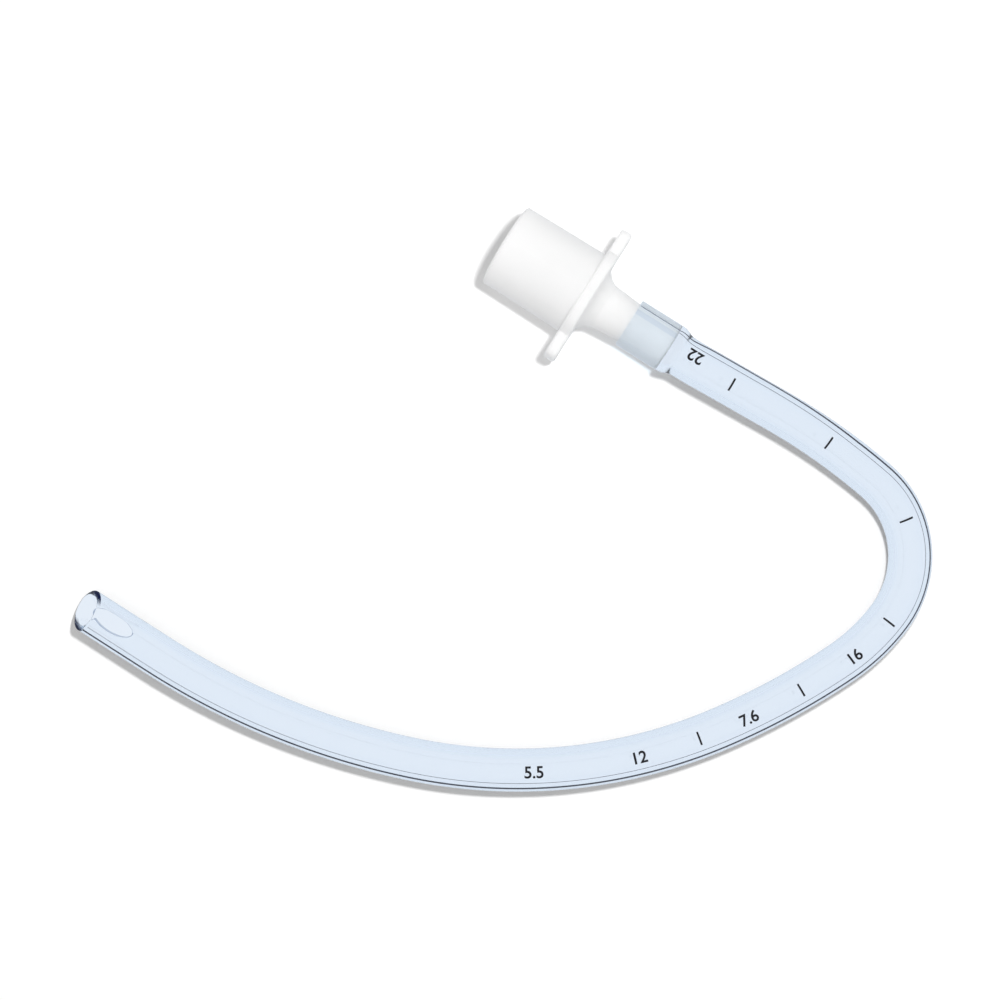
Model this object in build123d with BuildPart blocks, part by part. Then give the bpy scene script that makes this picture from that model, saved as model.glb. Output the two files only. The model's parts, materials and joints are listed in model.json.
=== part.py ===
"""Preformed oral breathing tube, uncuffed, with its 15 mm connector.

Two pieces, as on the real tube: a soft clear tube, moulded to its bend, whose end is stretched
over the spigot of a hard plastic connector. The model lies on a table as the real one does.
+X runs along the connector's axis from its mouth to the tube, +Z is up, and the origin is on the
table under the middle of the whole object. All sizes are in millimetres and degrees.
"""

from build123d import *
from math import acos, atan2, cos, degrees, hypot, radians, sin, sqrt, tan
import os

# Tube
tube_diameter = 7.6
tube_bore = 5.5
sleeve_length = 8.3
flare_length = 3.4
end_chamfer = 0.2

# Bends of the tube, in order from the connector to the patient's end
sleeve_bend_radius = 60.0
sleeve_bend_angle = 3.0
levelling_radius = 60.0
upper_limb_length = 11.7
entry_bend_radius = 115.0
entry_bend_angle = 10.9
main_bend_radius = 18.0
main_bend_angle = 86.7
exit_bend_radius = 35.4
exit_bend_angle = 19.3
first_shank_radius = 130.5
first_shank_angle = 10.9
middle_shank_radius = 92.6
middle_shank_angle = 34.6
last_shank_radius = 135.5
last_shank_angle = 21.0
patient_end_length = 15.4

# Patient's end: a slanted mouth that faces up, and the side hole opposite to it
bevel_angle = 55.0
bevel_rounding = 0.45
side_hole_length = 8.0
side_hole_width = 3.6
side_hole_setback = 4.9
side_hole_rounding = 0.25

# Connector
cone_mouth_diameter = 15.27
cone_length = 16.0
cone_taper_ratio = 1 / 40
socket_diameter = 12.9
socket_depth = 17.0
socket_funnel_length = 2.6
mouth_chamfer = 0.3
flange_width = 17.0
flange_height = 16.0
flange_thickness = 2.1
flange_corner_radius = 6.0
flange_edge_chamfer = 0.3
wing_span = 25.6
wing_height = 8.0
wing_corner_radius = 1.5
funnel_root_diameter = 12.6
funnel_length = 2.3
funnel_hollow_radius = 4.0
neck_root_diameter = 8.4
neck_end_diameter = 7.5
neck_length = 5.3
spigot_diameter = 7.3
spigot_lead = 0.4
spigot_fit = 0.02

# Sizes that follow from those above
tube_radius = tube_diameter / 2
bore_radius = tube_bore / 2
spigot_radius = spigot_diameter / 2
axis_height = flange_height / 2
sleeve_bore_radius = spigot_radius + spigot_fit
wall_area_per_pi = tube_radius**2 - bore_radius**2
sleeve_radius = sqrt(sleeve_bore_radius**2 + wall_area_per_pi)
flare_end = sleeve_length + flare_length
flange_back = -(neck_length + funnel_length)
flange_front = flange_back - flange_thickness
mouth_end = flange_front - cone_length

lifted_bends = [
    (entry_bend_radius, entry_bend_angle),
    (main_bend_radius, main_bend_angle),
    (exit_bend_radius, exit_bend_angle),
]
table_bends = [
    (first_shank_radius, first_shank_angle),
    (middle_shank_radius, middle_shank_angle),
    (last_shank_radius, last_shank_angle),
]


def limb_slope(bends):
    """Slope, in degrees, at which the upper limb comes down from the connector to the table.

    The bends after the limb lie in one plane with it, which leans so that they end level. The
    drop is then the levelling arc's, plus the slope's sine times a reach along the limb.
    """
    heading = 0.0
    along = 0.0
    across = 0.0
    for radius, turn in bends:
        turned = heading + radians(turn)
        along += radius * (sin(turned) - sin(heading))
        across += radius * (cos(heading) - cos(turned))
        heading = turned
    reach = upper_limb_length + along - across / tan(heading)
    drop = axis_height - tube_radius
    swing = hypot(levelling_radius, reach)
    return degrees(acos((levelling_radius - drop) / swing) - atan2(reach, levelling_radius))


def clockwise_bends(run, bends):
    """Arcs to the right, seen from above, each tangent to what comes before it."""
    for radius, turn in bends:
        run = JernArc(run @ 1, run % 1, radius, -turn)
    return run


# Upright plane through the connector's axis: local x runs to the tube, local y is up
seat = Vector(0, 0, axis_height)
axis_plane = Plane(seat, x_dir=(1, 0, 0), z_dir=(0, -1, 0))
machine_axis = Axis(seat, (1, 0, 0))

# Centreline of the tube, from the end of its flare: a slight bend to the left, which keeps level,
# and then the upper limb, which comes down in an upright plane of its own
level_plane = Plane(seat, x_dir=(1, 0, 0), z_dir=(0, 0, 1))
with BuildLine(level_plane) as sleeve_bend:
    bend_to_left = JernArc((flare_end, 0), (1, 0), sleeve_bend_radius, sleeve_bend_angle)

slope = limb_slope(lifted_bends)
limb_heading = bend_to_left % 1
limb_plane = Plane(bend_to_left @ 1, x_dir=limb_heading, z_dir=limb_heading.cross(Vector(0, 0, 1)))
with BuildLine(limb_plane) as upper_limb:
    levelling = JernArc((0, 0), (1, 0), levelling_radius, -slope)
    limb = Line(levelling @ 1, levelling @ 1 + (levelling % 1) * upper_limb_length)

total_lifted_turn = sum(turn for _, turn in lifted_bends)
plan_turn = acos(cos(radians(total_lifted_turn)) / cos(radians(slope))) - radians(sleeve_bend_angle)
level_heading = Vector(cos(plan_turn), -sin(plan_turn), 0)
lifted_plane = Plane(limb @ 1, x_dir=limb % 1, z_dir=level_heading.cross(limb % 1))
with BuildLine(lifted_plane) as bend:
    bend_end = clockwise_bends(limb, lifted_bends)

table_plane = Plane(bend_end @ 1, x_dir=bend_end % 1, z_dir=(0, 0, 1))
bevel_reach = tube_radius / tan(radians(bevel_angle))
spare_length = 1.0
with BuildLine(table_plane) as shank:
    shank_end = clockwise_bends(bend_end, table_bends)
    past_bevel = patient_end_length + bevel_reach + spare_length
    Line(shank_end @ 1, shank_end @ 1 + (shank_end % 1) * past_bevel)

route = Wire([*sleeve_bend.edges(), *upper_limb.edges(), *bend.edges(), *shank.edges()])
tip_direction = route % 1
tip_centre = route @ 1 - tip_direction * (bevel_reach + spare_length)


# Tube: stretched sleeve and flare, bent length, slanted mouth and side hole
with BuildPart() as tube:
    with BuildSketch(axis_plane):
        with BuildLine():
            flare_middle = sleeve_length + flare_length / 2
            Line((0, sleeve_bore_radius), (0, sleeve_radius))
            Line((0, sleeve_radius), (sleeve_length, sleeve_radius))
            Bezier(
                (sleeve_length, sleeve_radius),
                (flare_middle, sleeve_radius),
                (flare_middle, tube_radius),
                (flare_end, tube_radius),
            )
            Line((flare_end, tube_radius), (flare_end, bore_radius))
            Bezier(
                (flare_end, bore_radius),
                (flare_middle, bore_radius),
                (flare_middle, sleeve_bore_radius),
                (sleeve_length, sleeve_bore_radius),
            )
            Line((sleeve_length, sleeve_bore_radius), (0, sleeve_bore_radius))
        make_face()
    revolve(axis=machine_axis)
    sleeve_rim = tube.faces().sort_by(Axis.X)[0].edges()
    chamfer(sleeve_rim, length=end_chamfer)

    with BuildSketch(Plane(route @ 0, z_dir=route % 0)):
        Circle(tube_radius)
        Circle(bore_radius, mode=Mode.SUBTRACT)
    sweep(path=route)

    bevel_normal = tip_direction * sin(radians(bevel_angle)) + Vector(0, 0, cos(radians(bevel_angle)))
    bevel_plane = Plane(tip_centre, z_dir=bevel_normal)
    split(bisect_by=bevel_plane, keep=Keep.BOTTOM)
    bevel_face = tube.faces().filter_by(bevel_plane).sort_by_distance(tip_centre)[0]
    fillet(bevel_face.edges(), radius=bevel_rounding)

    side_hole_centre = tip_centre - tip_direction * side_hole_setback
    with BuildSketch(Plane(side_hole_centre, x_dir=tip_direction, z_dir=(0, 0, 1))):
        Ellipse(side_hole_length / 2, side_hole_width / 2)
    extrude(amount=-tube_diameter, mode=Mode.SUBTRACT)
    fillet(tube.edges(Select.LAST), radius=side_hole_rounding)


# Connector: cone, winged flange, funnel, neck and spigot in one moulding, bored right through
with BuildPart() as connector:
    with BuildSketch(Plane(seat + Vector(flange_front, 0, 0), x_dir=(0, 1, 0), z_dir=(1, 0, 0))):
        RectangleRounded(flange_width, flange_height, flange_corner_radius)
        RectangleRounded(wing_span, wing_height, wing_corner_radius)
    extrude(amount=flange_thickness)
    flange_outlines = connector.faces().filter_by(Axis.X).edges()
    chamfer(flange_outlines, length=flange_edge_chamfer)

    with BuildSketch(axis_plane):
        with BuildLine():
            cone_root_radius = (cone_mouth_diameter + cone_length * cone_taper_ratio) / 2
            outside = Polyline(
                (flange_back, funnel_root_diameter / 2),
                (flange_front, cone_root_radius),
                (mouth_end, cone_mouth_diameter / 2),
                (mouth_end, 0),
                (sleeve_length, 0),
                (sleeve_length, spigot_radius - spigot_lead / 2),
                (sleeve_length - spigot_lead, spigot_radius),
                (0, spigot_radius),
                (0, neck_end_diameter / 2),
                (-neck_length, neck_root_diameter / 2),
            )
            RadiusArc(outside @ 1, outside @ 0, funnel_hollow_radius)
        make_face()
    revolve(axis=machine_axis)

    with BuildSketch(axis_plane):
        with BuildLine():
            socket_floor = mouth_end + socket_depth
            Polyline(
                (mouth_end, 0),
                (mouth_end, socket_diameter / 2),
                (socket_floor, socket_diameter / 2),
                (socket_floor + socket_funnel_length, bore_radius),
                (sleeve_length, bore_radius),
                (sleeve_length, 0),
                (mouth_end, 0),
            )
        make_face()
    revolve(axis=machine_axis, mode=Mode.SUBTRACT)

    mouth_rim = connector.faces().sort_by(Axis.X)[0].edges()
    chamfer(mouth_rim, length=mouth_chamfer)

# Both pieces move together, so that the origin lies on the table under the middle of the object
drawn_box = Compound([tube.part, connector.part]).bounding_box()
middle = drawn_box.center()
to_origin = Location((-middle.X, -middle.Y, -drawn_box.min.Z))
tube.part = tube.part.moved(to_origin)
tube.part.label = "tube"
connector.part = connector.part.moved(to_origin)
connector.part.label = "connector"

os.makedirs("parts", exist_ok=True)
export_step(tube.part, "parts/tube.step")
export_step(connector.part, "parts/connector.step")

print(f"upper limb comes down at {slope:.2f} degrees")
print(f"bent length {route.length - bevel_reach - spare_length:.1f} mm")
print(f"seat of the tube on the connector at {-middle.X:.3f}, {-middle.Y:.3f}, {axis_height:.3f}")
print(f"tube {tube.part.volume:.1f} mm3, connector {connector.part.volume:.1f} mm3")
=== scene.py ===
# %% [markdown]
# # A preformed oral breathing tube on a white table
#
# The object is a soft, clear PVC tube with a pale blue tint, moulded to its bend, with a white
# 15 mm connector pushed into one end. The solids come from the CAD frame. Here they get their looks:
# a fine refractive skin for the tube, the dark contrast line in its wall, the printed depth marks
# and numbers, and the milky plastic of the connector. The lengths of shapes are in millimetres, and
# `MM` turns them into Blender's metres. Those in materials, and the lamp's, are in metres.

# %% Frame
import json
import math
import bmesh
import bpy
import numpy as np
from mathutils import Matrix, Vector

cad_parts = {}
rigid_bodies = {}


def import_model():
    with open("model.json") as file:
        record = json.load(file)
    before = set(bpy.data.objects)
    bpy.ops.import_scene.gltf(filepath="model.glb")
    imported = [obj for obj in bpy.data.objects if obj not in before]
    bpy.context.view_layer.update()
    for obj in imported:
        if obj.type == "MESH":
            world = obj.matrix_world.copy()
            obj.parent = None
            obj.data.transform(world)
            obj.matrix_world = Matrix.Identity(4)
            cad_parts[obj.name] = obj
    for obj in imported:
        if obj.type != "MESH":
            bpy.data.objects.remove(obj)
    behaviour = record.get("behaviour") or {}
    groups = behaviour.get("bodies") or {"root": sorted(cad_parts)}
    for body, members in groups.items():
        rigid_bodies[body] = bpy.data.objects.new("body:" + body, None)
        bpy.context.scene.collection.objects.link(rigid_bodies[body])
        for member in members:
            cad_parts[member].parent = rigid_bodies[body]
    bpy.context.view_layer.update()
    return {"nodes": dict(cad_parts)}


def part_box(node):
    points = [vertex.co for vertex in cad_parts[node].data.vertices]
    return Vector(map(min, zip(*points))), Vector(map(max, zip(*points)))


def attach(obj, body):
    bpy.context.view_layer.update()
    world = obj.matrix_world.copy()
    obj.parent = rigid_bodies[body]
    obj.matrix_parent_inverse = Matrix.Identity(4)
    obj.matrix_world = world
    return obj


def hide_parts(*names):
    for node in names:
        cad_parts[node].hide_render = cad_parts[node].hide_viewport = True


for default_object in list(bpy.data.objects):
    bpy.data.objects.remove(default_object)

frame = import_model()

MM = 0.001
cone_low, cone_high = (np.array(corner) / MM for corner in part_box("connector"))
print("connector box, mm:", cone_low.round(3), cone_high.round(3))

# %% [markdown]
# ## Where the pieces are
#
# The connector's box places everything: its axis is level, halfway up the flange, and the tube's
# end is pushed over its last stretch, the spigot. The sizes are the driving sizes of the CAD model.
# The wall keeps its section where it is stretched over the spigot, which gives the sleeve's radius.

# %% Sizes
TUBE_RADIUS = 3.8
BORE_RADIUS = 2.75
SPIGOT_RADIUS = 3.65
SPIGOT_FIT = 0.02
SLEEVE_LENGTH = 8.3
FLARE_LENGTH = 3.4
SLEEVE_BORE_RADIUS = SPIGOT_RADIUS + SPIGOT_FIT
SLEEVE_RADIUS = math.sqrt(SLEEVE_BORE_RADIUS**2 + TUBE_RADIUS**2 - BORE_RADIUS**2)
BODY_START = SLEEVE_LENGTH + FLARE_LENGTH

seat = np.array([cone_high[0] - SLEEVE_LENGTH, (cone_low[1] + cone_high[1]) / 2, cone_high[2] / 2])
print("seat of the tube on the connector, mm:", seat.round(3))

# %% [markdown]
# ## Camera
#
# The photograph looks straight down, and a 50 mm lens a quarter of a metre up fits it. The camera
# comes first, so that every later render can be laid over the photograph.

# %% Camera
CAMERA_FROM_SEAT = (-2.60, -38.56)
CAMERA_HEIGHT = 252.75
CAMERA_TURN = 32.17

camera_data = bpy.data.cameras.new("camera")
camera_data.lens = 50.0
camera_data.sensor_width = 36.0
camera_data.clip_start = 0.01
camera = bpy.data.objects.new("camera", camera_data)
camera.location = np.array([*(seat[:2] + CAMERA_FROM_SEAT), CAMERA_HEIGHT]) * MM
camera.rotation_euler = (0.0, 0.0, math.radians(CAMERA_TURN))
bpy.context.scene.collection.objects.link(camera)
bpy.context.scene.camera = camera
print("camera, m:", tuple(round(value, 4) for value in camera.location))

# %% [markdown]
# ## The slope of the upper limb
#
# The connector's flange holds the tube's upper end off the table, and the rest of the tube lies on
# it. So the upper limb comes down at a slope, and the bend after it leans, so that it ends level.
# The slope isn't guessed: it is the one at which the drop from the axis to the lying tube fits.

# %% Slope
SLEEVE_BEND = (60.0, math.radians(3.0))
LEVELLING_RADIUS = 60.0
UPPER_LIMB_LENGTH = 11.7
LIFTED_BENDS = [(115.0, 10.9), (18.0, 86.7), (35.4, 19.3)]
TABLE_BENDS = [(130.5, 10.9), (92.6, 34.6), (135.5, 21.0)]


def limb_slope(bends):
    """Angle at which the upper limb comes down, so that the bends after it end on the table.

    Drop = levelling radius x (1 - cos slope) + reach x sin slope, solved for the slope.
    """
    heading, along, across = 0.0, 0.0, 0.0
    for radius, turn in bends:
        turned = heading + math.radians(turn)
        along += radius * (math.sin(turned) - math.sin(heading))
        across += radius * (math.cos(heading) - math.cos(turned))
        heading = turned
    reach = UPPER_LIMB_LENGTH + along - across / math.tan(heading)
    drop = seat[2] - TUBE_RADIUS
    swing = math.hypot(LEVELLING_RADIUS, reach)
    return math.acos((LEVELLING_RADIUS - drop) / swing) - math.atan2(reach, LEVELLING_RADIUS)


slope = limb_slope(LIFTED_BENDS)
print(f"upper limb comes down at {math.degrees(slope):.2f} degrees")

# %% [markdown]
# ## The centreline
#
# A moulded tube keeps its shape, so its centreline is no loose cord: it is a chain of straight runs
# and tangent arcs. Each link knows its start, its heading, the side it turns to and its curvature,
# so a point at any distance is one formula. Across the tube lie two axes: one level, to the right
# of the heading, and one as near to upright as the heading allows. The tube never stands up, so
# these axes never flip, and what is printed on top stays on top.

# %% Chain of links
UP = np.array([0.0, 0.0, 1.0])


def unit(vectors):
    """The vectors, each divided by its length."""
    return vectors / np.linalg.norm(vectors, axis=-1, keepdims=True)


class Centreline:
    """A chain of links, each straight or bending to one side."""

    def __init__(self, start, heading):
        self.links = []
        self.length = 0.0
        self.end = np.array(start, float)
        self.heading = np.array(heading, float)

    def add(self, length, towards=None, radius=math.inf):
        """Adds a link. It bends to the part of `towards` that is square to the heading."""
        side = np.cross(self.heading, UP) if towards is None else towards
        side = unit(side - self.heading * np.dot(side, self.heading))
        self.links.append((self.length, self.end, self.heading, side, 1 / radius))
        self.length += length
        end, axes = self.at(np.array(self.length))
        self.end, self.heading = end, axes[0]

    def at(self, distance):
        """Points, and heading, right and up axes, at an array of distances.

        With k = 1 / radius and a = k x distance along the link:
        point = start + heading x sin(a) / k + side x (1 - cos(a)) / k
        new heading = heading x cos(a) + side x sin(a)
        """
        points = np.zeros(distance.shape + (3,))
        headings = np.zeros_like(points)
        for start, place, heading, side, curvature in self.links:
            along = (distance - start)[..., None]
            angle = along * curvature
            ahead = along * np.sinc(angle / np.pi)
            aside = along * angle / 2 * np.sinc(angle / (2 * np.pi)) ** 2
            here = (along >= 0) | (start == 0)
            points = np.where(here, place + ahead * heading + aside * side, points)
            headings = np.where(here, np.cos(angle) * heading + np.sin(angle) * side, headings)
        right = unit(np.cross(headings, UP))
        return points, np.stack([headings, right, np.cross(right, headings)])


# %% [markdown]
# ## The route from the connector to the slanted mouth
#
# The links follow the CAD model: straight through the sleeve, a slight bend to the left, down to
# the slope, the upper limb, three bends that come down to the table, and three long shallow bends
# on it. The last stretch is straight, and it ends in the mouth, cut at 55 degrees so that it faces
# up. `bend` takes any piece that was drawn on a straight tube and lays it along this route.

# %% Route
PATIENT_END_LENGTH = 15.4
BEVEL_ANGLE = math.radians(55.0)
SPARE_LENGTH = 1.0

route = Centreline(seat, (1.0, 0.0, 0.0))
route.add(BODY_START)
route.add(SLEEVE_BEND[0] * SLEEVE_BEND[1], towards=-np.cross(route.heading, UP), radius=SLEEVE_BEND[0])
route.add(LEVELLING_RADIUS * slope, towards=-UP, radius=LEVELLING_RADIUS)
route.add(UPPER_LIMB_LENGTH)

lifted_turn = math.radians(sum(turn for _, turn in LIFTED_BENDS))
plan_turn = math.acos(math.cos(lifted_turn) / math.cos(slope)) - SLEEVE_BEND[1]
level_heading = np.array([math.cos(plan_turn), -math.sin(plan_turn), 0.0])
for radius, turn in LIFTED_BENDS:
    route.add(radius * math.radians(turn), towards=level_heading, radius=radius)
for radius, turn in TABLE_BENDS:
    route.add(radius * math.radians(turn), towards=np.cross(route.heading, UP), radius=radius)

bevel_slope = 1 / math.tan(BEVEL_ANGLE)
tip = route.length + PATIENT_END_LENGTH
route.add(PATIENT_END_LENGTH + TUBE_RADIUS * bevel_slope + SPARE_LENGTH)
print(f"{tip:.1f} mm from seat to slanted mouth, whose middle is at", route.at(np.array(tip))[0].round(3))


def straight_tube(along, angle, radius):
    """Points on a straight tube: (along, radius x cos(angle) to the right, radius x sin(angle) up)."""
    along, angle, radius = np.broadcast_arrays(along, angle, radius)
    return np.stack([along, radius * np.cos(angle), radius * np.sin(angle)], -1)


def bend(straight):
    """Lays (along, right, up) points on the route: centre at `along` + right x its axis + up x its axis."""
    centre, (_, right, up) = route.at(straight[..., 0])
    return centre + straight[..., 1:2] * right + straight[..., 2:3] * up


# %% [markdown]
# ## From arrays to meshes
#
# Every new piece is a grid of points. `grid_faces` joins each point of a grid to the next row and
# column, and a closed direction wraps round. `tube_mesh` bends the points, turns all faces outwards
# and shades them smooth. It also keeps each point's place on the straight tube as an attribute,
# because the marks that a tube gets as it is drawn through its die run along it, round every bend.
# `new_strip` makes a closed bar out of rings, for the threads of the stripe and for the depth marks.

# %% Mesh helpers
def grid_faces(index, close_rows=False, close_columns=False):
    """Quads over a grid of point numbers: each is a point, the next row's, and their neighbours."""
    if close_rows:
        index = np.vstack([index, index[:1]])
    if close_columns:
        index = np.hstack([index, index[:, :1]])
    corners = [index[:-1, :-1], index[1:, :-1], index[1:, 1:], index[:-1, 1:]]
    return np.stack(corners, axis=-1).reshape(-1, 4)


def remember_straight(mesh, straight):
    """Stores the place on the straight tube, in metres, at every point."""
    attribute = mesh.attributes.new("straight_place", "FLOAT_VECTOR", "POINT")
    attribute.data.foreach_set("vector", (straight * MM).astype(np.float32).ravel())


def tube_mesh(name, straight, faces, end_faces=()):
    """Mesh of points drawn on the straight tube, without those that no face uses.

    End faces may have any number of corners. They are for meshes whose faces use every point.
    """
    used, corners = np.unique(faces, return_inverse=True)
    straight = straight.reshape(-1, 3)[used]
    mesh = bpy.data.meshes.new(name)
    polygons = corners.reshape(faces.shape).tolist() + list(end_faces)
    mesh.from_pydata((bend(straight) * MM).tolist(), [], polygons)
    work = bmesh.new()
    work.from_mesh(mesh)
    bmesh.ops.recalc_face_normals(work, faces=work.faces)
    work.to_mesh(mesh)
    work.free()
    remember_straight(mesh, straight)
    mesh.shade_smooth()
    return mesh


def new_piece(name, mesh, material):
    """Object of the mesh, riding on the frame's only body, with the tube's finish."""
    piece = bpy.data.objects.new(name, mesh)
    mesh.materials.append(material)
    bpy.context.scene.collection.objects.link(piece)
    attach(piece, "root")
    print(f"{name}: {len(mesh.vertices)} points, {len(mesh.polygons)} faces")
    return piece


def new_strip(name, straight, material):
    """Piece of rings drawn on the straight tube, with one face over the first and one over the last."""
    index = np.arange(straight[..., 0].size).reshape(straight.shape[:2])
    end_faces = [index[0].tolist(), index[-1].tolist()]
    faces = grid_faces(index, close_columns=True)
    return new_piece(name, tube_mesh(name, straight, faces, end_faces), material)


def corner_curve(before, corner, after, samples, weight=math.sqrt(0.5)):
    """Rounded corner: an arc of a circle where the weight is the sine of half the corner's angle.

    ((1-t)^2 before + 2t(1-t) weight corner + t^2 after) / ((1-t)^2 + 2t(1-t) weight + t^2)
    """
    t = np.linspace(0, 1, samples).reshape((-1,) + (1,) * np.ndim(corner))
    pull = 2 * t * (1 - t) * weight
    return ((1 - t) ** 2 * before + pull * corner + t**2 * after) / ((1 - t) ** 2 + pull + t**2)


# %% [markdown]
# ## A short way to write node trees
#
# A material is a small graph. It could be built node by node with the full calls, but then the
# wiring drowns in them. `Sheet` writes one node a line: a value in the dictionary is either a
# plain number or colour, which is set on the socket, or another node's output, which is wired to it.

# %% Node sheets
class Sheet:
    """A node tree to draw in."""

    def __init__(self, tree):
        self.tree = tree
        tree.nodes.clear()

    def add(self, kind, values=None, **properties):
        node = self.tree.nodes.new(kind)
        for name, value in properties.items():
            setattr(node, name, value)
        for socket, value in (values or {}).items():
            if isinstance(value, bpy.types.NodeSocket):
                self.tree.links.new(value, node.inputs[socket])
            else:
                node.inputs[socket].default_value = value
        return node

    def maths(self, operation, first, second=0.0):
        return self.add("ShaderNodeMath", {0: first, 1: second}, operation=operation).outputs[0]

    def both(self, first, second):
        """Product of two masks: 1 where both are 1."""
        return self.maths("MULTIPLY", first, second)

    def within(self, value, low, high):
        """1 where a value lies between two limits."""
        above = self.maths("GREATER_THAN", value, low)
        return self.both(above, self.maths("LESS_THAN", value, high))

    def length(self, first, second):
        """Square root of the sum of two squares."""
        squares = [self.maths("MULTIPLY", side, side) for side in (first, second)]
        return self.maths("SQRT", self.maths("ADD", *squares))

    def range(self, value, low, high):
        """Spreads a value from 0 to 1 over low to high."""
        return self.add("ShaderNodeMapRange", {"Value": value, "To Min": low, "To Max": high}).outputs[0]

    def blend(self, share, first, second):
        """Mixes two colours, or a colour and a colour output, by the share."""
        mix = self.add("ShaderNodeMix", {0: share, 6: first, 7: second}, data_type="RGBA")
        return mix.outputs[2]

    def blend_surfaces(self, share, first, second):
        """Mixes two shaders by the share: 0 is all the first, 1 all the second."""
        return self.add("ShaderNodeMixShader", {0: share, 1: first, 2: second}).outputs[0]

    def straight_place(self):
        """Where the point lay on the straight tube, in metres, as `remember_straight` stored it."""
        return self.add("ShaderNodeAttribute", attribute_name="straight_place").outputs["Vector"]


def new_material(name):
    material = bpy.data.materials.new(name)
    material.use_nodes = True
    return material, Sheet(material.node_tree)


# %% [markdown]
# ## Two effects that the plastics share
#
# A drawn tube and a moulded connector both show where the melt flowed: long faint streaks. Both
# have a fine skin too, from the die and from the mould. Each effect is a node group, made once and
# placed in every material with its own length, width or grain. The streaks are noise in a space that
# is squeezed along the flow, so that its grains are drawn out.

# %% Flow streaks and fine grain
def new_group(name, inputs, output):
    group = bpy.data.node_groups.new(name, "ShaderNodeTree")
    for socket, kind in inputs.items():
        group.interface.new_socket(socket, in_out="INPUT", socket_type=kind)
    group.interface.new_socket(output, in_out="OUTPUT", socket_type="NodeSocketFloat")
    sheet = Sheet(group)
    return group, sheet, sheet.add("NodeGroupInput").outputs


def use_group(sheet, group, values):
    return sheet.add("ShaderNodeGroup", values, node_tree=group).outputs[0]


def flow_streaks():
    """Noise at (along / length, across / width, across / width), from 0 to 1."""
    inputs = {"Place": "NodeSocketVector", "Length": "NodeSocketFloat", "Width": "NodeSocketFloat"}
    group, sheet, given = new_group("flow streaks", inputs, "Streaks")
    grain = sheet.add("ShaderNodeCombineXYZ", {0: given["Length"], 1: given["Width"], 2: given["Width"]})
    by_grain = {0: given["Place"], 1: grain.outputs[0]}
    squeezed = sheet.add("ShaderNodeVectorMath", by_grain, operation="DIVIDE")
    noise = sheet.add("ShaderNodeTexNoise", {"Vector": squeezed.outputs[0], "Scale": 1.0, "Detail": 3.0})
    sheet.add("NodeGroupOutput", {"Streaks": noise.outputs[0]})
    return group


def fine_grain():
    """Noise with grains of one size in every direction, from 0 to 1."""
    inputs = {"Place": "NodeSocketVector", "Size": "NodeSocketFloat"}
    group, sheet, given = new_group("fine grain", inputs, "Grain")
    scale = sheet.maths("DIVIDE", 1.0, given["Size"])
    noise = sheet.add("ShaderNodeTexNoise", {"Vector": given["Place"], "Scale": scale, "Detail": 4.0})
    sheet.add("NodeGroupOutput", {"Grain": noise.outputs[0]})
    return group


streaks_group = flow_streaks()
grain_group = fine_grain()

# %% [markdown]
# ## Clear blue PVC
#
# The wall is tinted right through, so its colour is no paint: a look along the wall is a deeper
# blue than a look across it. The surface could be tinted, but then the rim and the edges stay
# pale. So the surface is almost colourless, and the blue is a Volume Absorption inside it.
#
# Four places differ. Where the sleeve clings to the white spigot there is no air between them, so
# its bore has no surface to mirror in, and rays that carry light go straight through the sleeve.
# The contrast stripe is stretched thin there. A band on the sleeve's top is tinted darker blue:
# painted shade, for the shaded side of the white spigot under it. The side hole's softened edge is
# tinted darker: painted shade, for the dark line that the edge's bending of light would draw. At the
# two sides of the mouth the wall is seen edge on, and light that comes out there has gone so far
# along it that it is navy: that light is painted, as a navy surface mixed in.

# %% PVC
PVC_COLOURS = ((0.985, 0.99, 1.0, 1), (0.995, 0.998, 1.0, 1))
PVC_ROUGHNESS = (0.02, 0.06)
PVC_IOR = 1.53
HAZE_SIZE = 0.004
DIE_LINES = {"Length": 0.03, "Width": 0.0005}
DIE_LINE_DEPTH = 0.0001
DIE_LINE_STRENGTH = 0.06
ABSORBED_COLOUR = (0.225, 0.54, 0.82, 1)
ABSORPTION = 65.0
THROUGH_SLEEVE = (0.965, 0.985, 1.0, 1)
# Painted shade: a darker blue band on the sleeve's top, for the shaded side of the white spigot under it.
SHADED_BAND_ON_SLEEVE = (math.radians(90 + 16), math.radians(90 + 30))
SLEEVE_SHADE_TINT = (0.76, 0.80, 0.88, 1)
# Painted shade: the side hole's softened edge is darkened, for the dark line its refraction would draw.
HOLE_EDGE_SHADE = (0.22, 0.28, 0.40, 1)
# Painted light: a navy surface on the mouth rim's sides, for light that has gone far along the wall.
RIM_PAINTED_NAVY = (0.004, 0.009, 0.05, 1)
RIM_ROUGHNESS = 0.3
RIM_SPECULAR = 0.02
RIM_REACH = 0.42
RIM_DARK_FROM = 0.62
RIM_DARK_FULL = 0.86
HOLE_HALF_LENGTH = 4.0
HOLE_HALF_WIDTH = 1.8
HOLE_SETBACK = 4.9
HOLE_EDGE_SHARE = 0.045


def hole_edge(sheet, along, right, up):
    """1 on the side hole's softened edge, where sqrt((x / a)^2 + (y / b)^2) is about 1."""
    from_middle = sheet.maths("SUBTRACT", along, (tip - HOLE_SETBACK) * MM)
    x = sheet.maths("DIVIDE", from_middle, HOLE_HALF_LENGTH * MM)
    y = sheet.maths("DIVIDE", right, HOLE_HALF_WIDTH * MM)
    ring = sheet.within(sheet.length(x, y), 1 - HOLE_EDGE_SHARE, 1 + HOLE_EDGE_SHARE)
    return sheet.both(ring, sheet.maths("LESS_THAN", up, 0.0))


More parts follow.
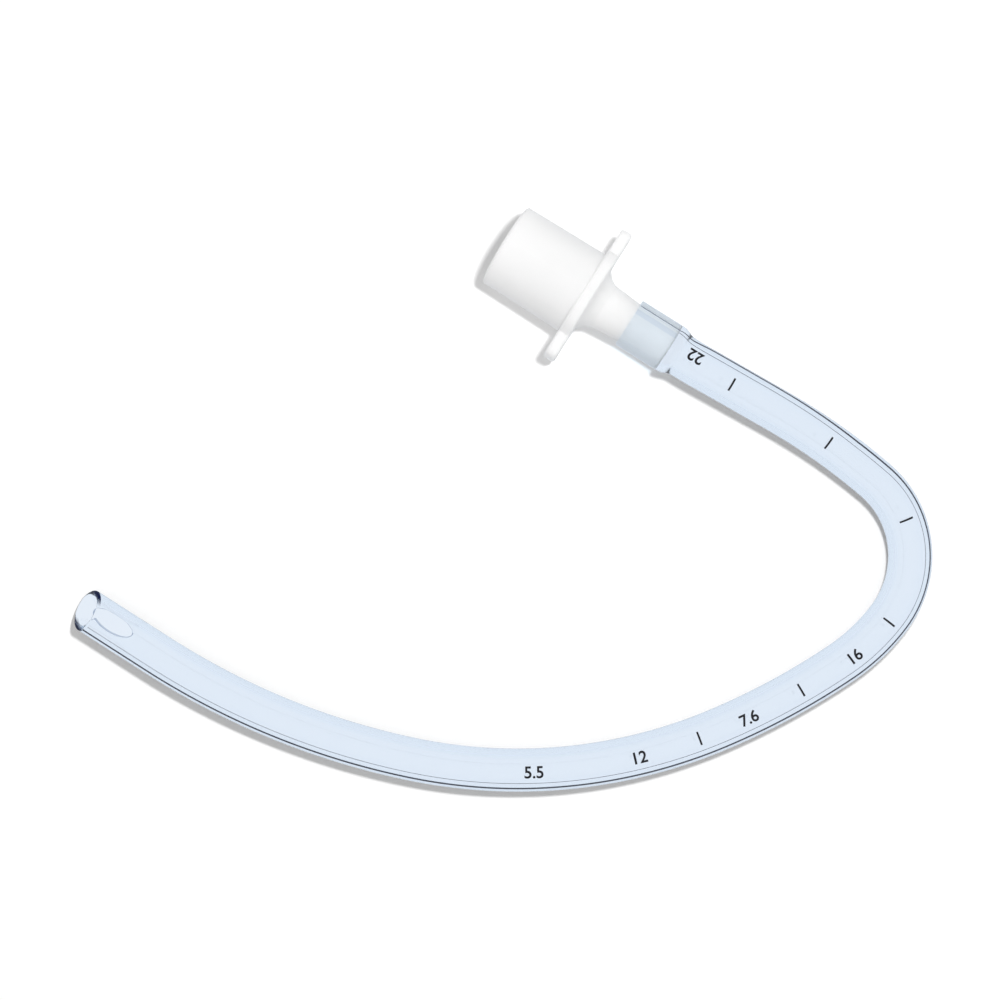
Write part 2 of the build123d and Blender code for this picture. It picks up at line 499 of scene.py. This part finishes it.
def rim_sides(sheet, along, right, up):
    """1 on the two sides of the mouth's rim, where the wall is seen edge on.

    Rim: along + up / tan(bevel angle) > tip - reach. Sides: far from the tube's middle plane.
    """
    to_cut = sheet.maths("ADD", along, sheet.maths("MULTIPLY", up, bevel_slope))
    rim = sheet.maths("GREATER_THAN", to_cut, (tip - RIM_REACH) * MM)
    aside = sheet.maths("DIVIDE", sheet.maths("ABSOLUTE", right), TUBE_RADIUS * MM)
    limits = {"Value": aside, "From Min": RIM_DARK_FROM, "From Max": RIM_DARK_FULL}
    return sheet.both(rim, sheet.add("ShaderNodeMapRange", limits).outputs[0])


def clear_pvc():
    material, sheet = new_material("clear pale blue PVC")
    place = sheet.straight_place()
    die_lines = use_group(sheet, streaks_group, {"Place": place, **DIE_LINES})
    haze = use_group(sheet, grain_group, {"Place": place, "Size": HAZE_SIZE})
    bump = sheet.add(
        "ShaderNodeBump",
        {"Strength": DIE_LINE_STRENGTH, "Distance": DIE_LINE_DEPTH, "Height": die_lines},
    )
    along, right, up = sheet.add("ShaderNodeSeparateXYZ", {0: place}).outputs
    on_spigot = sheet.maths("LESS_THAN", along, SLEEVE_LENGTH * MM)
    angle = sheet.maths("ARCTAN2", up, right)
    # Painted shade on the sleeve, for the spigot's shaded side under it.
    shaded_band = sheet.both(sheet.within(angle, *SHADED_BAND_ON_SLEEVE), on_spigot)
    colour = sheet.blend(haze, *PVC_COLOURS)
    colour = sheet.blend(shaded_band, colour, SLEEVE_SHADE_TINT)
    # Painted shade on the side hole's softened edge.
    colour = sheet.blend(hole_edge(sheet, along, right, up), colour, HOLE_EDGE_SHADE)
    clear = sheet.add(
        "ShaderNodeBsdfPrincipled",
        {
            "Base Color": colour,
            "Roughness": sheet.range(die_lines, *PVC_ROUGHNESS),
            "IOR": PVC_IOR,
            "Transmission Weight": 1.0,
            "Normal": bump.outputs[0],
        },
    )
    bore = sheet.maths("LESS_THAN", sheet.length(right, up), (SLEEVE_BORE_RADIUS + SPIGOT_FIT) * MM)
    path = sheet.add("ShaderNodeLightPath").outputs
    lighting = sheet.maths("MAXIMUM", path["Is Shadow Ray"], path["Is Diffuse Ray"])
    open_way = sheet.both(on_spigot, sheet.maths("MAXIMUM", bore, lighting))
    through = sheet.add("ShaderNodeBsdfTransparent", {"Color": THROUGH_SLEEVE})
    clear_or_open = sheet.blend_surfaces(open_way, clear.outputs[0], through.outputs[0])
    # Painted light: navy on the rim's sides, for light carried far along the wall.
    painted_navy = sheet.add(
        "ShaderNodeBsdfPrincipled",
        {"Base Color": RIM_PAINTED_NAVY, "Roughness": RIM_ROUGHNESS, "Specular IOR Level": RIM_SPECULAR},
    )
    sides = rim_sides(sheet, along, right, up)
    surface = sheet.blend_surfaces(sides, clear_or_open, painted_navy.outputs[0])
    tint = sheet.add("ShaderNodeVolumeAbsorption", {"Color": ABSORBED_COLOUR, "Density": ABSORPTION})
    sheet.add("ShaderNodeOutputMaterial", {"Surface": surface, "Volume": tint.outputs[0]})
    return material


pvc = clear_pvc()
print("clear PVC:", len(pvc.node_tree.nodes), "nodes")

# %% [markdown]
# ## The wall's two faces
#
# The tube is one closed skin: out along the outer face, round the rim of the mouth, back along the
# bore, and round the end of the sleeve. Every row of it is a ring of columns. The stretched sleeve
# narrows to the tube in a flare, and both faces follow the same smooth curve.

# %% Rows along the wall
COLUMNS = 96
SLEEVE_STEPS = 9
FLARE_STEPS = 16
BODY_STEP = 1.0
TIP_ZONE = 14.0
END_ROUNDING = 0.2
END_STEPS = 5

angles = np.arange(COLUMNS) * 2 * np.pi / COLUMNS
body_end = tip - TIP_ZONE


def wall_rows(sleeve_radius, body_radius):
    """Distances and radii of one face, from the rounded end of the sleeve to the tip zone.

    Flare: distance = start + length x (1.5 t (1 - t) + t^3), radius falls with t^2 (3 - 2t).
    """
    t = np.linspace(0, 1, FLARE_STEPS + 1)
    sleeve = np.linspace(END_ROUNDING, SLEEVE_LENGTH, SLEEVE_STEPS, endpoint=False)
    flare = SLEEVE_LENGTH + FLARE_LENGTH * (1.5 * t * (1 - t) + t**3)
    body = np.linspace(BODY_START, body_end, round(body_end / BODY_STEP))[1:-1]
    flare_radius = sleeve_radius + (body_radius - sleeve_radius) * t**2 * (3 - 2 * t)
    sleeve_part = np.full(len(sleeve), sleeve_radius)
    body_part = np.full(len(body), body_radius)
    return np.concatenate([sleeve, flare, body]), np.concatenate([sleeve_part, flare_radius, body_part])


def level_rows(along, radius):
    """The same distance and radius at every angle."""
    wide = np.ones(COLUMNS)
    return np.stack([np.outer(along, wide), np.outer(radius, wide)], -1)


outer_along, outer_radius = wall_rows(SLEEVE_RADIUS, TUBE_RADIUS)
inner_along, inner_radius = wall_rows(SLEEVE_BORE_RADIUS, BORE_RADIUS)
end_outer = corner_curve(
    np.array([0.0, SLEEVE_RADIUS - END_ROUNDING]),
    np.array([0.0, SLEEVE_RADIUS]),
    np.array([END_ROUNDING, SLEEVE_RADIUS]),
    END_STEPS,
)
end_inner = corner_curve(
    np.array([END_ROUNDING, SLEEVE_BORE_RADIUS]),
    np.array([0.0, SLEEVE_BORE_RADIUS]),
    np.array([0.0, SLEEVE_BORE_RADIUS + END_ROUNDING]),
    END_STEPS,
)
print(len(outer_along), "rows from the sleeve to the tip zone")

# %% [markdown]
# ## The slanted mouth
#
# The mouth is cut at a slant and its edge is melted round, so that it glides. The cut's distance
# depends on the angle round the tube. In the last stretch the rows lean more and more, so that the
# last one lies along the cut, and no face is split. Two rounded corners then make the rim, both of
# one radius. The corners are sharper or blunter round the mouth, so each arc starts further
# back where its corner is sharper: setback = radius / tan(half the corner's angle). The angles of
# the outer and the inner corner add up to 180 degrees, so the inner setback is radius x tan(the
# outer one's half).

# %% Rim of the mouth
TIP_STEPS = 42
RIM_STEPS = 7
RIM_RADIUS = 0.45


def cut_corner(radius):
    """Where the cut meets a face of the wall: distance = tip - radius x sin(angle) / tan(bevel angle)."""
    return np.stack([tip - radius * np.sin(angles) * bevel_slope, np.full(COLUMNS, radius)], -1)


def tip_rows(radius, setback):
    """Rows from the tip zone's start to the rim, each a share of the way at every angle."""
    share = np.linspace(0, 1, TIP_STEPS + 1)[:, None]
    along = body_end * (1 - share) + (cut_corner(radius)[:, 0] - setback) * share
    return np.stack([along, np.full(along.shape, radius)], -1)


outer_corner = cut_corner(TUBE_RADIUS)
inner_corner = cut_corner(BORE_RADIUS)
across_rim = unit(inner_corner - outer_corner)
half_corner = np.arccos(-across_rim[:, :1]) / 2
outer_setback = RIM_RADIUS / np.tan(half_corner)
inner_setback = RIM_RADIUS * np.tan(half_corner)
ahead = np.array([1.0, 0.0])
outer_round = corner_curve(
    outer_corner - outer_setback * ahead,
    outer_corner,
    outer_corner + outer_setback * across_rim,
    RIM_STEPS,
    np.sin(half_corner),
)
inner_round = corner_curve(
    inner_corner - inner_setback * across_rim,
    inner_corner,
    inner_corner - inner_setback * ahead,
    RIM_STEPS,
    np.cos(half_corner),
)
outer_tip = tip_rows(TUBE_RADIUS, outer_setback[:, 0])
inner_tip = tip_rows(BORE_RADIUS, inner_setback[:, 0])

rows = [
    level_rows(*end_outer[:-1].T),
    level_rows(outer_along, outer_radius),
    outer_tip[:-1],
    outer_round,
    inner_round,
    inner_tip[-2::-1],
    level_rows(inner_along, inner_radius)[::-1],
    level_rows(*end_inner[1:].T),
]
first_row = np.cumsum([0] + [len(part) for part in rows])
outer_tip_row = first_row[2]
inner_tip_row = first_row[6] - 1
profile = np.concatenate(rows)
skin = straight_tube(profile[..., 0], angles, profile[..., 1])
skin_index = np.arange(len(skin) * COLUMNS).reshape(-1, COLUMNS)
print("skin of", *skin_index.shape, "points")

# %% [markdown]
# ## The side hole
#
# Opposite to the slanted mouth the wall has an oval hole, which lets air past if the mouth lies
# against something. It could be cut with a Boolean, but that leaves thin triangles in a curved
# glass wall, and they show. Here a window of whole faces is left out of both faces of the wall, and
# rings of points lead from the window's border to the oval, round its softened edge, through the
# wall and out again. The tube is straight there, so the oval is drawn looking straight up at it.

# %% Rings of the side hole
HOLE_ROUNDING = 0.25
HOLE_COLUMNS = 32
HOLE_FIRST_STEP = 9
HOLE_LAST_STEP = 37
FLAT_RINGS = 9
EDGE_RINGS = 6
BORE_RINGS = 5

hole_middle = tip - HOLE_SETBACK
bottom_column = round(270 / 360 * COLUMNS)
columns = np.arange(-HOLE_COLUMNS // 2, HOLE_COLUMNS // 2 + 1) + bottom_column
steps = np.arange(HOLE_FIRST_STEP, HOLE_LAST_STEP + 1)
sides = len(steps) - 1
ends = len(columns) - 1
border_steps = np.concatenate(
    [steps[:-1], np.full(ends, steps[-1]), steps[:0:-1], np.full(ends, steps[0])]
)
border_columns = np.concatenate(
    [np.full(sides, columns[0]), columns[:-1], np.full(sides, columns[-1]), columns[:0:-1]]
)


def on_wall(x, y, radius):
    """Point of the wall's lower half over (x, y): (x, y, -sqrt(radius^2 - y^2))."""
    return np.stack([hole_middle + x, y, -np.sqrt(radius**2 - y**2)], -1)


def hole_rings():
    """Rings from the outer border to the bore's: flat, softened edge, wall, softened edge, flat."""
    outer_x = outer_tip[border_steps, border_columns, 0] - hole_middle
    inner_x = inner_tip[border_steps, border_columns, 0] - hole_middle
    outer_y = TUBE_RADIUS * np.cos(angles[border_columns])
    inner_y = BORE_RADIUS * np.cos(angles[border_columns])
    turn = np.arctan2(outer_y / np.abs(outer_y).max(), outer_x / np.abs(outer_x).max())
    rim_x, rim_y = HOLE_HALF_LENGTH * np.cos(turn), HOLE_HALF_WIDTH * np.sin(turn)
    wide_x, wide_y = rim_x + HOLE_ROUNDING * np.cos(turn), rim_y + HOLE_ROUNDING * np.sin(turn)
    lift = np.array([0.0, 0.0, HOLE_ROUNDING])
    outer_rim, inner_rim = on_wall(rim_x, rim_y, TUBE_RADIUS), on_wall(rim_x, rim_y, BORE_RADIUS)

    def flat_rings(x, y, radius, count):
        """Rings on the wall, in even steps from the border at (x, y) to the softened edge."""
        share = np.linspace(0, 1, count + 2)[1:-1, None]
        return on_wall(x + (wide_x - x) * share, y + (wide_y - y) * share, radius)

    outer_edge = corner_curve(on_wall(wide_x, wide_y, TUBE_RADIUS), outer_rim, outer_rim + lift, EDGE_RINGS)
    inner_edge = corner_curve(inner_rim - lift, inner_rim, on_wall(wide_x, wide_y, BORE_RADIUS), EDGE_RINGS)
    through = (outer_edge[-1:] + inner_edge[:1]) / 2
    outer_flat = flat_rings(outer_x, outer_y, TUBE_RADIUS, FLAT_RINGS)
    inner_flat = flat_rings(inner_x, inner_y, BORE_RADIUS, BORE_RINGS)[::-1]
    return np.concatenate([outer_flat, outer_edge, through, inner_edge, inner_flat])


rings = hole_rings()
ring_index = skin_index.size + np.arange(rings[..., 0].size).reshape(rings.shape[:2])
print("side hole of", *ring_index.shape, "points")

# %% [markdown]
# ## The tube
#
# The skin wraps round both ways, like a very long ring. The faces of the window are left out of it,
# and the rings of the side hole, with the window's two borders, take their place. The new piece
# stands for the CAD node, which stays in the frame for collision.

# %% Tube
skin_faces = grid_faces(skin_index, close_rows=True, close_columns=True)
skin_faces = skin_faces.reshape(*skin_index.shape, 4)
kept = np.ones(skin_faces.shape[:2], bool)
kept[np.ix_(outer_tip_row + steps[:-1], columns[:-1])] = False
kept[np.ix_(inner_tip_row - steps[:-1] - 1, columns[:-1])] = False

outer_border = skin_index[outer_tip_row + border_steps, border_columns]
inner_border = skin_index[inner_tip_row - border_steps, border_columns]
patch_faces = grid_faces(np.vstack([outer_border, ring_index, inner_border]), close_columns=True)
tube_faces = np.concatenate([skin_faces[kept], patch_faces])
tube_straight = np.concatenate([skin.reshape(-1, 3), rings.reshape(-1, 3)])
tube = new_piece("clear_tube", tube_mesh("clear_tube", tube_straight, tube_faces), pvc)
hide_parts("tube")

# %% [markdown]
# ## The contrast stripe
#
# A stripe of heavy pigment is drawn into the wall along the whole tube, so that it shows on an
# X-ray. It lies on the outside of the bend, close under the surface. Its pigment gathers at its two
# edges: a dark one further out, and a faint one nearer to the top. A painted stripe would have no
# depth, so each edge is a thin thread inside the clear wall, with a flat oval section. The threads
# wander a little round the tube, and grow thin where the sleeve is stretched over the spigot. A
# perfect bore would mirror them, so that each is seen twice; a real one is too dull for that, so
# they are left out of mirrored rays.

# %% Contrast stripe
DRIFT_PLACES = [0.0, SLEEVE_LENGTH, BODY_START + 3, 28.0, 45.0]
STRIPE_THREADS = [
    ("contrast_line", 0.0, [43.0, 43.0, 60.0, 60.0, 48.5], [0.12, 0.12, 0.62, 0.62, 0.55]),
    ("contrast_line_edge", SLEEVE_LENGTH, [35.0, 35.0, 35.0, 35.0, 28.0], [0.10, 0.10, 0.11, 0.11, 0.09]),
]
THREAD_THICKNESS = 0.1
THREAD_COVER = 0.02
THREAD_SIDES = 12
PIGMENT_COLOURS = ((0.006, 0.012, 0.06, 1), (0.012, 0.025, 0.10, 1))
PIGMENT_ROUGHNESS = (0.6, 0.8)
PIGMENT_SPECULAR = 0.1
STRANDS = {"Length": 0.02, "Width": 0.0002}


def pigment():
    material, sheet = new_material("blue-black contrast pigment")
    strands = use_group(sheet, streaks_group, {"Place": sheet.straight_place(), **STRANDS})
    surface = sheet.add(
        "ShaderNodeBsdfPrincipled",
        {
            "Base Color": sheet.blend(strands, *PIGMENT_COLOURS),
            "Roughness": sheet.range(strands, *PIGMENT_ROUGHNESS),
            "Specular IOR Level": PIGMENT_SPECULAR,
        },
    )
    mirrored = sheet.add("ShaderNodeLightPath").outputs["Is Reflection Ray"]
    unseen = sheet.add("ShaderNodeBsdfTransparent")
    shown = sheet.blend_surfaces(mirrored, surface.outputs[0], unseen.outputs[0])
    sheet.add("ShaderNodeOutputMaterial", {"Surface": shown})
    return material


stripe_pigment = pigment()
turns = np.arange(THREAD_SIDES) * 2 * np.pi / THREAD_SIDES
for name, start, degrees_aside, widths in STRIPE_THREADS:
    column = round((90 + degrees_aside[-1]) / 360 * COLUMNS)
    along = np.concatenate([outer_along, outer_tip[1:, column, 0]])
    radius = np.append(outer_radius, np.full(TIP_STEPS, TUBE_RADIUS))
    along, radius = along[along >= start], radius[along >= start]
    thread_angle = np.pi / 2 + np.radians(np.interp(along, DRIFT_PLACES, degrees_aside))
    half_width = np.interp(along, DRIFT_PLACES, widths) / 2
    thread = straight_tube(
        along[:, None],
        thread_angle[:, None] + half_width[:, None] * np.cos(turns) / TUBE_RADIUS,
        radius[:, None] - THREAD_COVER - THREAD_THICKNESS / 2 * (1 - np.sin(turns)),
    )
    new_strip(name, thread, stripe_pigment)

# %% [markdown]
# ## Depth marks
#
# Short strokes, 20 mm apart, are printed across the tube to show how deep it lies. The ink is a
# thin film on the outside. A mark painted by a material would need a mask in the glass, and would
# lose its crisp edge, so each mark is a thin curved bar that hugs the surface.

# %% Depth marks
TICK_FIRST = 116.8
TICK_PITCH = 20.0
TICKS = 6
TICK_LENGTH = 2.45
TICK_WIDTH = 0.35
TICK_ASIDE = math.radians(-8.0)
TICK_STEPS = 13
INK_LIFT = 0.01
INK_THICKNESS = 0.02
INK_COLOURS = ((0.006, 0.006, 0.008, 1), (0.03, 0.03, 0.035, 1))
INK_ROUGHNESS = (0.7, 0.95)
INK_SPECULAR = 0.2
DAB_SIZE = 0.0002


def black_ink():
    material, sheet = new_material("black pad print")
    dabs = use_group(sheet, grain_group, {"Place": sheet.straight_place(), "Size": DAB_SIZE})
    surface = sheet.add(
        "ShaderNodeBsdfPrincipled",
        {
            "Base Color": sheet.blend(dabs, *INK_COLOURS),
            "Roughness": sheet.range(dabs, *INK_ROUGHNESS),
            "Specular IOR Level": INK_SPECULAR,
        },
    )
    sheet.add("ShaderNodeOutputMaterial", {"Surface": surface.outputs[0]})
    return material


ink = black_ink()
film = np.array([[-1, 0], [1, 0], [1, 1], [-1, 1]]) * [TICK_WIDTH / 2, INK_THICKNESS]
stroke = np.linspace(-TICK_LENGTH / 2, TICK_LENGTH / 2, TICK_STEPS) / TUBE_RADIUS
for number in range(TICKS):
    middle = tip - TICK_FIRST - TICK_PITCH * number
    tick = straight_tube(
        middle + film[:, 0],
        (np.pi / 2 + TICK_ASIDE + stroke)[:, None],
        TUBE_RADIUS + INK_LIFT + film[:, 1],
    )
    new_strip(f"depth_mark_{number}", tick, ink)

# %% [markdown]
# ## Numbers
#
# Between the strokes stand small plain numbers: depths in centimetres, and the tube's outer and
# inner diameter in millimetres. Blender's own font draws them as flat outlines. Once an outline is a
# mesh, it is cut into narrow strips, because a flat letter can't lie on a round wall, and then its
# points go onto the tube by the same formula as every other piece. Solidify gives the ink its film.

# %% Numbers
DIGIT_HEIGHT = 2.15
STRIP_HEIGHT = 0.2
MERGE_DISTANCE = STRIP_HEIGHT / 1000
PEN_SPREAD = 0.02
NUMBERS = [
    ("depth_22", "22", 224.5, 8.1),
    ("depth_16", "16", 148.2, -7.0),
    ("outer_diameter", "7.6", 126.3, -6.1),
    ("depth_12", "12", 105.8, -6.2),
    ("inner_diameter", "5.5", 86.7, -3.9),
]


def points_of(mesh):
    """The mesh's points as rows of three."""
    points = np.empty(len(mesh.vertices) * 3)
    mesh.vertices.foreach_get("co", points)
    return points.reshape(-1, 3)


def flat_number(name, text):
    """Mesh of a number, cut into level strips, with its size in millimetres and its middle at 0, 0."""
    curve = bpy.data.curves.new(name, "FONT")
    curve.body = text
    curve.offset = PEN_SPREAD
    lettering = bpy.data.objects.new(name, curve)
    mesh = bpy.data.meshes.new_from_object(lettering)
    bpy.data.objects.remove(lettering)
    drawn = points_of(mesh)
    low, high = drawn.min(axis=0), drawn.max(axis=0)
    sized = (drawn - (low + high) / 2) * DIGIT_HEIGHT / (high - low)[1]
    mesh.vertices.foreach_set("co", sized.ravel())
    work = bmesh.new()
    work.from_mesh(mesh)
    bmesh.ops.remove_doubles(work, verts=work.verts, dist=MERGE_DISTANCE)
    for height in np.arange(-DIGIT_HEIGHT / 2, DIGIT_HEIGHT / 2, STRIP_HEIGHT)[1:]:
        everything = [*work.verts, *work.edges, *work.faces]
        bmesh.ops.bisect_plane(work, geom=everything, plane_co=(0, height, 0), plane_no=(0, 1, 0))
    work.to_mesh(mesh)
    work.free()
    return mesh


for name, text, from_tip, aside in NUMBERS:
    number_mesh = flat_number(name, text)
    read, rise, _ = points_of(number_mesh).T
    angle = np.pi / 2 + math.radians(aside) - rise / TUBE_RADIUS
    straight = straight_tube(tip - from_tip - read, angle, TUBE_RADIUS + INK_LIFT)
    number_mesh.vertices.foreach_set("co", (bend(straight) * MM).ravel())
    remember_straight(number_mesh, straight)
    piece = new_piece(name, number_mesh, ink)
    layer = piece.modifiers.new("ink film", "SOLIDIFY")
    layer.thickness = INK_THICKNESS * MM
    layer.offset = 1.0

# %% [markdown]
# ## Milky connector plastic
#
# The connector is polypropylene without pigment: white because it scatters light inside. Painted
# white, it would have hard dark sides. Subsurface scattering carries light from the bright side
# round to the other, which is why the real one looks almost shadowless. The solid from the CAD
# frame already has the right shape, so only its material changes.

# %% Connector
PLASTIC_COLOURS = ((0.965, 0.965, 0.97, 1), (0.99, 0.99, 0.99, 1))
PLASTIC_ROUGHNESS = (0.35, 0.5)
PLASTIC_IOR = 1.49
SCATTER_DISTANCE = 0.002
FLOW_LINES = {"Length": 0.012, "Width": 0.0025}
SKIN_GRAIN = 0.0004
SKIN_DEPTH = 0.00005
SKIN_STRENGTH = 0.15


def milky_plastic():
    material, sheet = new_material("milky polypropylene")
    place = sheet.add("ShaderNodeTexCoord").outputs["Object"]
    flow = use_group(sheet, streaks_group, {"Place": place, **FLOW_LINES})
    skin = use_group(sheet, grain_group, {"Place": place, "Size": SKIN_GRAIN})
    bump = sheet.add("ShaderNodeBump", {"Strength": SKIN_STRENGTH, "Distance": SKIN_DEPTH, "Height": skin})
    surface = sheet.add(
        "ShaderNodeBsdfPrincipled",
        {
            "Base Color": sheet.blend(flow, *PLASTIC_COLOURS),
            "Roughness": sheet.range(skin, *PLASTIC_ROUGHNESS),
            "IOR": PLASTIC_IOR,
            "Subsurface Weight": 1.0,
            "Subsurface Radius": (1.0, 1.0, 1.0),
            "Subsurface Scale": SCATTER_DISTANCE,
            "Normal": bump.outputs[0],
        },
    )
    sheet.add("ShaderNodeOutputMaterial", {"Surface": surface.outputs[0]})
    return material


connector = frame["nodes"]["connector"]
connector.data.materials.clear()
connector.data.materials.append(milky_plastic())

# %% [markdown]
# ## Light
#
# The photograph has soft, even light from above and a small soft shadow to the lower left. A bit
# less than half of the light comes from an even white world, and the rest from one round lamp. The
# lamp hangs near, over the tube's upper end: there the shadow falls almost straight down, and
# further away, along the lower limb, it leans out. A lamp so near would leave the picture's edges
# dark, so its light doesn't fade with distance. Its power is share x pi x 4 pi, because it spreads over a
# whole sphere and a matt surface shows 1 / pi of what it gets. World and lamp together add up to a
# little over 1, so a colour renders about as it is written.
#
# A ray that goes straight from the camera, or by way of gloss and clear plastic, sees the world as
# plain white. The lamp is hidden from gloss and clear plastic, so that it draws no second window.

# %% World and lamp
WORLD_SHARE = 0.45
LAMP_SHARE = 0.65
LAMP_HEIGHT = 0.2
LAMP_RADIUS = 0.009
LAMP_FROM_SEAT = 0.012
LAMP_DIRECTION_IN_PICTURE = math.radians(0)
WHITE = (1.0, 1.0, 1.0, 1.0)


def looking_rays(sheet):
    """1 for a ray that carries the picture, and 0 for one that has met a matt surface.

    Such a ray comes from the camera, straight or by way of gloss or clear plastic.
    """
    path = sheet.add("ShaderNodeLightPath").outputs
    by_glass = sheet.maths("MAXIMUM", path["Is Glossy Ray"], path["Is Transmission Ray"])
    straight = sheet.maths("MAXIMUM", path["Is Camera Ray"], by_glass)
    return sheet.both(straight, sheet.maths("LESS_THAN", path["Diffuse Depth"], 0.5))


world = bpy.data.worlds.new("white studio")
world.use_nodes = True
bpy.context.scene.world = world
sheet = Sheet(world.node_tree)
lighting = sheet.add("ShaderNodeBackground", {"Color": WHITE, "Strength": WORLD_SHARE})
seen = sheet.add("ShaderNodeBackground", {"Color": WHITE, "Strength": 1.0})
studio = sheet.blend_surfaces(looking_rays(sheet), lighting.outputs[0], seen.outputs[0])
sheet.add("ShaderNodeOutputWorld", {"Surface": studio})

lamp_data = bpy.data.lights.new("round lamp", "POINT")
lamp_data.energy = LAMP_SHARE * math.pi * 4 * math.pi
lamp_data.use_nodes = True
sheet = Sheet(lamp_data.node_tree)
even = sheet.add("ShaderNodeLightFalloff", {"Strength": 1.0}).outputs["Constant"]
emission = sheet.add("ShaderNodeEmission", {"Strength": even})
sheet.add("ShaderNodeOutputLight", {"Surface": emission.outputs[0]})
lamp_data.shadow_soft_size = LAMP_RADIUS
lamp = bpy.data.objects.new("round lamp", lamp_data)
lamp_direction = LAMP_DIRECTION_IN_PICTURE + math.radians(CAMERA_TURN)
lamp_side = LAMP_FROM_SEAT * np.array([math.cos(lamp_direction), math.sin(lamp_direction)])
lamp.location = (*(seat[:2] * MM + lamp_side), LAMP_HEIGHT)
lamp.visible_glossy = False
lamp.visible_transmission = False
bpy.context.scene.collection.objects.link(lamp)
print("lamp power", round(lamp_data.energy, 3), "at", tuple(round(value, 3) for value in lamp.location))

# %% [markdown]
# ## Table
#
# The table is a plain white sheet that takes the shadow. Seen from the camera it is matt, with a
# faint glow that lifts it to pure white. Seen through the tube it glows one even pale blue-white,
# without the lamp's shadow: the light that the tube gathers fills its own shadow, and the pale blue
# is painted shade for the tube's tinted shadow on the table under it.

# %% Table
TABLE_SIZE = 3.0
TABLE_COLOUR = (0.98, 0.98, 0.98, 1)
TABLE_GLOW = 0.10
# Painted shade: the table's glow seen through the tube, for the tube's tinted shadow under it.
TABLE_SHADE_THROUGH_PLASTIC = (0.82, 0.875, 0.95, 1)

corners = np.array([(-1, -1, 0), (1, -1, 0), (1, 1, 0), (-1, 1, 0)]) * TABLE_SIZE
table_mesh = bpy.data.meshes.new("table")
table_mesh.from_pydata(corners.tolist(), [], [(0, 1, 2, 3)])
table = bpy.data.objects.new("table", table_mesh)
bpy.context.scene.collection.objects.link(table)

white_table, sheet = new_material("white table")
path = sheet.add("ShaderNodeLightPath").outputs
glow_strength = sheet.maths("MULTIPLY", path["Is Camera Ray"], TABLE_GLOW)
glow = sheet.add("ShaderNodeEmission", {"Strength": glow_strength})
matt = sheet.add("ShaderNodeBsdfDiffuse", {"Color": TABLE_COLOUR})
table_top = sheet.add("ShaderNodeAddShader", {0: matt.outputs[0], 1: glow.outputs[0]})
# Painted shade: a pale blue glow, seen only through the plastic.
shaded_backdrop = sheet.add("ShaderNodeEmission", {"Color": TABLE_SHADE_THROUGH_PLASTIC, "Strength": 1.0})
by_plastic = sheet.maths("SUBTRACT", looking_rays(sheet), path["Is Camera Ray"])
table_surface = sheet.blend_surfaces(by_plastic, table_top.outputs[0], shaded_backdrop.outputs[0])
sheet.add("ShaderNodeOutputMaterial", {"Surface": table_surface})
table_mesh.materials.append(white_table)

bpy.context.scene.view_settings.view_transform = "Standard"
